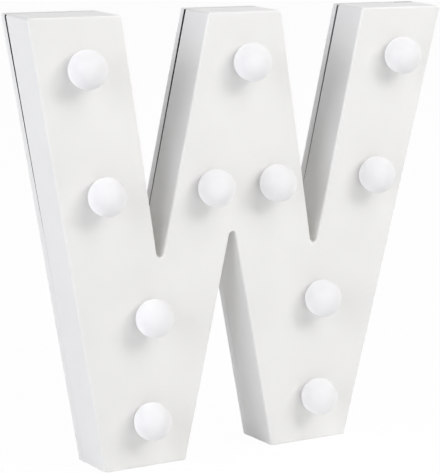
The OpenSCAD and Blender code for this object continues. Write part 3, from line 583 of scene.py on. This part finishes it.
def cell_section(radius, length):
    """(radius, distance from the button's top) from the button to the far end, and the row finishes."""
    lip, turn = radius - WRAP_LIP, radius - WRAP_ROUND
    hollow = (BUTTON_R + SHOULDER_ROUND, SHOULDER - SHOULDER_ROUND)
    rows = [
        ([[0.0, 0.0]], STEEL),
        (arc((BUTTON_R - BUTTON_ROUND, BUTTON_ROUND), BUTTON_ROUND, -90.0, 0.0, BUTTON_STEPS), STEEL),
        ([[BUTTON_R, SHOULDER - SHOULDER_ROUND]], STEEL),
        (arc(hollow, SHOULDER_ROUND, 180.0, 90.0, SHOULDER_STEPS), STEEL),
        ([[lip, SHOULDER]], STEEL),
        ([[lip, SHOULDER - WRAP_T]], WRAP),
        (arc((turn, SHOULDER + WRAP_ROUND - WRAP_T), WRAP_ROUND, -90.0, 0.0, WRAP_STEPS), WRAP),
        (arc((turn, length - WRAP_ROUND), WRAP_ROUND, 0.0, 90.0, WRAP_STEPS), WRAP),
        ([[lip, length]], WRAP),
        ([[lip, length - WRAP_T], [DISH_R, length - WRAP_T]], STEEL),
        ([[DISH_FLOOR_R, length - DISH_DEPTH], [0.0, length - DISH_DEPTH]], STEEL),
    ]
    profile = np.concatenate([points for points, _ in rows])
    finish = np.concatenate([[kind] * len(points) for points, kind in rows])
    return profile, finish[1:]


# %% Printed wrap
BAND_END, FOOT_START = 0.22, 0.94
BAND_PALE, BODY_DARK, FOOT_GREY = (0.55, 0.56, 0.56), (0.13, 0.17, 0.21), (0.40, 0.41, 0.42)
WRAP_WORN, WRAP_FRESH, WRAP_PREVIEW = (0.86, 0.86, 0.86), (1.0, 1.0, 1.0), (0.2, 0.25, 0.3)
WEAR_SCALE, WRAP_GLOSS_SCALE, WRAP_GLOSS = 140.0, 240.0, (0.24, 0.36)
WRAP_GRAIN_SCALE, WRAP_GRAIN_DEPTH = 700.0, 0.00001


def wrap_bands(tree, place, start, reach):
    """Three bands of colour by (x - start) / reach: pale to BAND_END, dark, grey from FOOT_START."""
    shift = tree.nodes.new("ShaderNodeMapping")
    shift.inputs["Location"].default_value = (-start / reach, 0.0, 0.0)
    shift.inputs["Scale"].default_value = (1.0 / reach, 0.0, 0.0)
    tree.links.new(place, shift.inputs["Vector"])
    length = tree.nodes.new("ShaderNodeSeparateXYZ")
    tree.links.new(shift.outputs["Vector"], length.inputs["Vector"])
    bands = tree.nodes.new("ShaderNodeValToRGB")
    ramp = bands.color_ramp
    ramp.interpolation = "CONSTANT"
    ramp.elements[0].color = (*BAND_PALE, 1.0)
    ramp.elements[1].position = BAND_END
    ramp.elements[1].color = (*BODY_DARK, 1.0)
    ramp.elements.new(FOOT_START).color = (*FOOT_GREY, 1.0)
    tree.links.new(length.outputs["X"], bands.inputs["Fac"])
    return bands.outputs["Color"]


def wrapped(name, start, reach):
    """Printed wrap: the bands times a cloudy wear, with patchy gloss and a slight unevenness."""
    material, tree, shader, place = start_finish(name, WRAP_PREVIEW)
    patches = spread(tree, cloud(tree, place, WEAR_SCALE), 0.0, 1.0)
    wear = mixed(tree, patches, WRAP_WORN, WRAP_FRESH)
    colour = mixed(tree, 1.0, wrap_bands(tree, place, start, reach), wear, "MULTIPLY")
    tree.links.new(colour, shader.inputs["Base Color"])
    glossed(tree, shader, cloud(tree, place, WRAP_GLOSS_SCALE), WRAP_GLOSS)
    grained(tree, shader, cloud(tree, place, WRAP_GRAIN_SCALE, GRAIN_DETAIL), WRAP_GRAIN_DEPTH)
    return material


print("pale band:", round(100.0 * BAND_END), "% of the cell's length")

# %% Cells
for name, way in (("cell_upper", -1.0), ("cell_lower", 1.0)):
    low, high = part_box(name)
    middle = (low + high) / 2
    button_x = high.x if way < 0 else low.x
    profile, rows = cell_section((high.z - low.z) / 2, high.x - low.x)
    shape = turned(profile, (button_x, middle.y, middle.z), (way, 0.0, 0.0), UPWARD, CELL_AROUND)
    wrap = wrapped(f"wrap_{name}", button_x, way * (high.x - low.x))
    dry_cell = grid_piece(f"dry_{name}", shape, [wrap, nickel], rows)
    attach(dry_cell, "letter")
    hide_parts(name)
    print(dry_cell.name, len(dry_cell.data.polygons), "faces")

# %% [markdown]
# ## The contact springs
# A conical spring presses each cell against the opposite plate. It is one wire: a round outline
# carried along a helix whose radius shrinks towards the cell, with a straight end at both tips.

# %% Spring path
SPRING_TURNS, SPRING_R_PLATE, SPRING_R_CELL, SPRING_WIRE_R = 4, 0.0034, 0.0022, 0.0003
SPRING_STEPS, WIRE_SIDES = 40, 12
# Nearly the coil's axis, but not quite, because the straight ends run along the axis itself.
COIL_LEAN = (1.0, 0.02, 0.03)


def cone_helix(length):
    """Points on a cone: the angle and the height grow evenly and the radius shrinks evenly with them."""
    t = np.linspace(0.0, 1.0, SPRING_TURNS * SPRING_STEPS + 1)
    angle = 2.0 * np.pi * SPRING_TURNS * t
    radius = SPRING_R_PLATE + (SPRING_R_CELL - SPRING_R_PLATE) * t
    height = 2.0 * SPRING_WIRE_R + (length - 4.0 * SPRING_WIRE_R) * t
    helix = np.column_stack([radius * np.cos(angle), radius * np.sin(angle), height])
    ends = helix[[0, -1]] * [1.0, 1.0, 0.0] + [[0.0, 0.0, 0.0], [0.0, 0.0, length]]
    return np.concatenate([ends[:1], helix, ends[1:]])


wire = arc((0.0, 0.0), SPRING_WIRE_R, 0.0, 360.0 - 360.0 / WIRE_SIDES, WIRE_SIDES)

# %% Springs
spring_steel = plated(
    "spring_steel", dark=(0.56, 0.57, 0.58), light=(0.70, 0.71, 0.72), gloss=(0.2, 0.32),
    stretch=EVERY_WAY, scratch_scale=1800.0, scratch_depth=0.000004,
)
for name, way in (("spring_upper", 1.0), ("spring_lower", -1.0)):
    low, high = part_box(name)
    helix = cone_helix(high.x - low.x)
    plate_x = low.x if way > 0 else high.x
    cell_low, cell_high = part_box(name.replace("spring", "cell"))
    hub = (cell_low + cell_high) / 2
    path = np.column_stack([
        plate_x + way * helix[:, 2], hub.y + helix[:, 1], hub.z - way * helix[:, 0]
    ])
    coil = grid_piece(f"coil_{name}", drawn_out(path, wire, COIL_LEAN), [spring_steel])
    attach(coil, "letter")
    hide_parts(name)
    print(coil.name, len(coil.data.polygons), "faces")

# %% [markdown]
# ## The wiring
# Inside, a twin flex runs from socket to socket, and three single leads join the bay, the switch
# and the first socket. None of it shows from outside, so each keeps its CAD solid and gets the
# soft sheen of vinyl.

# %% Wiring
VINYL = {"gloss": (0.35, 0.48), "patch": 200.0, "grain_scale": 900.0, "grain_depth": 0.00001}

flex_vinyl = moulded("flex_vinyl", (0.70, 0.69, 0.65), (0.78, 0.77, 0.73), **VINYL)
red_vinyl = moulded("lead_red_vinyl", (0.40, 0.020, 0.014), (0.50, 0.030, 0.020), **VINYL)
black_vinyl = moulded("lead_black_vinyl", (0.016, 0.017, 0.019), (0.028, 0.029, 0.031), **VINYL)
dress(flex_vinyl, "led_flex")
dress(red_vinyl, "lead_positive", "lead_switched")
dress(black_vinyl, "lead_negative")

# %% [markdown]
# ## Floor and light
# The photograph has a pure white surround and soft studio light. A bright world would be the
# easiest light, but it shades every wall alike, and here each wall has its own tone. So eight
# softboxes stand round the letter and the world adds very little. A large cool one lights the left
# walls, and a smaller one above it reaches over each arm to the top of the next wall. Two warm ones
# light the face, and the upper one stands so near that the face fades a little towards the feet. A
# key from the upper right throws the soft shade beside each globe. A cool one lights the top edges,
# and two more, on the right and far behind, keep those sides readable. The floor and the world look
# white to the camera, and the floor keeps part of the letter's shadow.

# %% Seen and lit
SHOWN_WHITE, WHITE = 0.97, (1.0, 1.0, 1.0)


def seen_rays(tree):
    """1 for rays that show the surround: from the camera, in gloss and through glass."""
    path = tree.nodes.new("ShaderNodeLightPath")
    seen = path.outputs["Is Camera Ray"]
    for name in ("Is Glossy Ray", "Is Transmission Ray"):
        seen = node_math(tree, "MAXIMUM", seen, path.outputs[name])
    return seen


def shown_over(tree, share, lit, shown, output):
    """A surface that is lit * (1 - share) + shown * share."""
    mix = tree.nodes.new("ShaderNodeMixShader")
    out = tree.nodes.new(output)
    tree.links.new(share, mix.inputs["Fac"])
    tree.links.new(lit, mix.inputs[1])
    tree.links.new(shown, mix.inputs[2])
    tree.links.new(mix.outputs["Shader"], out.inputs["Surface"])


print("share of white where the floor is seen:", SHOWN_WHITE)

# %% Surround
WORLD_LIGHT, WORLD_TINT = 0.02, (0.985, 0.99, 1.0)
FLOOR_REACH, PAPER = 14.0, (0.95, 0.95, 0.95)


def white_world():
    """A world that lights at one level and is plain white where it is seen."""
    world = bpy.data.worlds.new("white_room")
    world.use_nodes = True
    tree = world.node_tree
    tree.nodes.clear()
    layers = []
    for tint, strength in ((WORLD_TINT, WORLD_LIGHT), (WHITE, 1.0)):
        layer = tree.nodes.new("ShaderNodeBackground")
        feed(tree, tint, layer.inputs["Color"])
        feed(tree, strength, layer.inputs["Strength"])
        layers.append(layer.outputs["Background"])
    shown_over(tree, seen_rays(tree), *layers, "ShaderNodeOutputWorld")
    bpy.context.scene.world = world


def white_floor():
    """One square at Z = 0 whose paper finish is partly lit and mostly plain white where it is seen."""
    points = np.array([[-1, -1, 0], [1, -1, 0], [1, 1, 0], [-1, 1, 0]]) * (FLOOR_REACH / 2)
    mesh = bpy.data.meshes.new("floor")
    mesh.from_pydata(points.tolist(), [], [(0, 1, 2, 3)])
    material = bpy.data.materials.new("floor_paper")
    material.use_nodes = True
    tree = material.node_tree
    tree.nodes.clear()
    paper = tree.nodes.new("ShaderNodeBsdfDiffuse")
    feed(tree, PAPER, paper.inputs["Color"])
    white = tree.nodes.new("ShaderNodeEmission")
    share = node_math(tree, "MULTIPLY", seen_rays(tree), SHOWN_WHITE)
    shown_over(tree, share, paper.outputs["BSDF"], white.outputs["Emission"], "ShaderNodeOutputMaterial")
    mesh.materials.append(material)
    floor = bpy.data.objects.new("floor", mesh)
    bpy.context.scene.collection.objects.link(floor)


white_world()
white_floor()
print("floor:", FLOOR_REACH, "m across, world light", WORLD_LIGHT)

# %% Lamps
COOL, WARM = (0.94, 0.955, 1.0), (1.0, 0.998, 0.965)
# The place of each softbox in metres, its size, its power in watts and its tint.
SOFTBOXES = {
    "left_box": ((-2.2, -0.5, 0.6), 2.0, 37.0, COOL),
    "left_upper_box": ((-1.8, 0.1, 1.25), 0.8, 6.3, COOL),
    "front_box": ((0.0, -2.4, 0.5), 2.0, 8.2, WARM),
    "upper_front_box": ((0.11, -0.8, 1.05), 0.62, 3.85, WARM),
    "key_box": ((1.0, -1.5, 1.2), 0.8, 12.8, WHITE),
    "upper_right_box": ((1.6, 0.2, 1.6), 1.0, 14.6, COOL),
    "right_box": ((2.2, -0.5, 0.35), 1.2, 5.9, WHITE),
    "back_box": ((0.05, 6.0, 0.3), 0.5, 110.0, WHITE),
}


def soft_lamp(name, place, size, power, tint):
    """A square lamp that faces the aim: its back axis runs from the aim to its place."""
    light = bpy.data.lights.new(name, "AREA")
    light.shape, light.size, light.energy, light.color = "SQUARE", size, power, tint
    back = np.asarray(place) - AIM
    back /= np.linalg.norm(back)
    right = np.cross(UPWARD, back)
    right /= np.linalg.norm(right)
    return set_up(name, light, (right, np.cross(back, right), back), place)


lamps = [soft_lamp(name, *settings) for name, settings in SOFTBOXES.items()]
bpy.context.scene.view_settings.view_transform = "Standard"
print("softboxes:", len(lamps))
